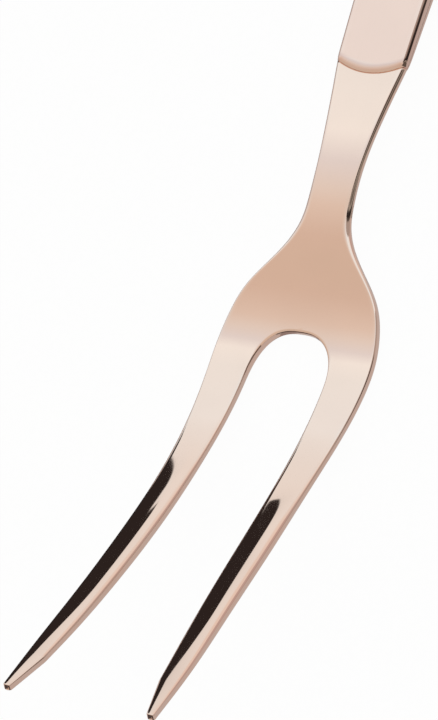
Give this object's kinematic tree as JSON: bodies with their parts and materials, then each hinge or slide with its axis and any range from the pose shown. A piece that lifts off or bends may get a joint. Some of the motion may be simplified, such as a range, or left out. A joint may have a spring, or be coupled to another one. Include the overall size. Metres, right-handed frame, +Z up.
{
  "type": "carving fork",
  "caption": "Carving fork with long curved tapering tines, a round-bottomed slot, a waisted neck and a hollow handle.",
  "frame": {"origin": "middle of the footprint, on the table that the fork lies on", "axes": "+Y along the fork towards the end of the handle, +Z up out of the front face, +X to the right"},
  "size_m": [0.0318, 0.2516, 0.0413],
  "materials": {
    "rose_gold_steel": "mirror polished steel with a rose gold coating",
    "rose_gold_shell": "polished thin sheet steel with a rose gold coating, very finely brushed along its length",
    "cement": "set cutler's cement, matt and grainy"
  },
  "bodies": {
    "root": {"fork_head": "rose_gold_steel", "handle_front_shell": "rose_gold_shell", "handle_back_shell": "rose_gold_shell", "handle_filler": "cement"}
  },
  "joints": []
}
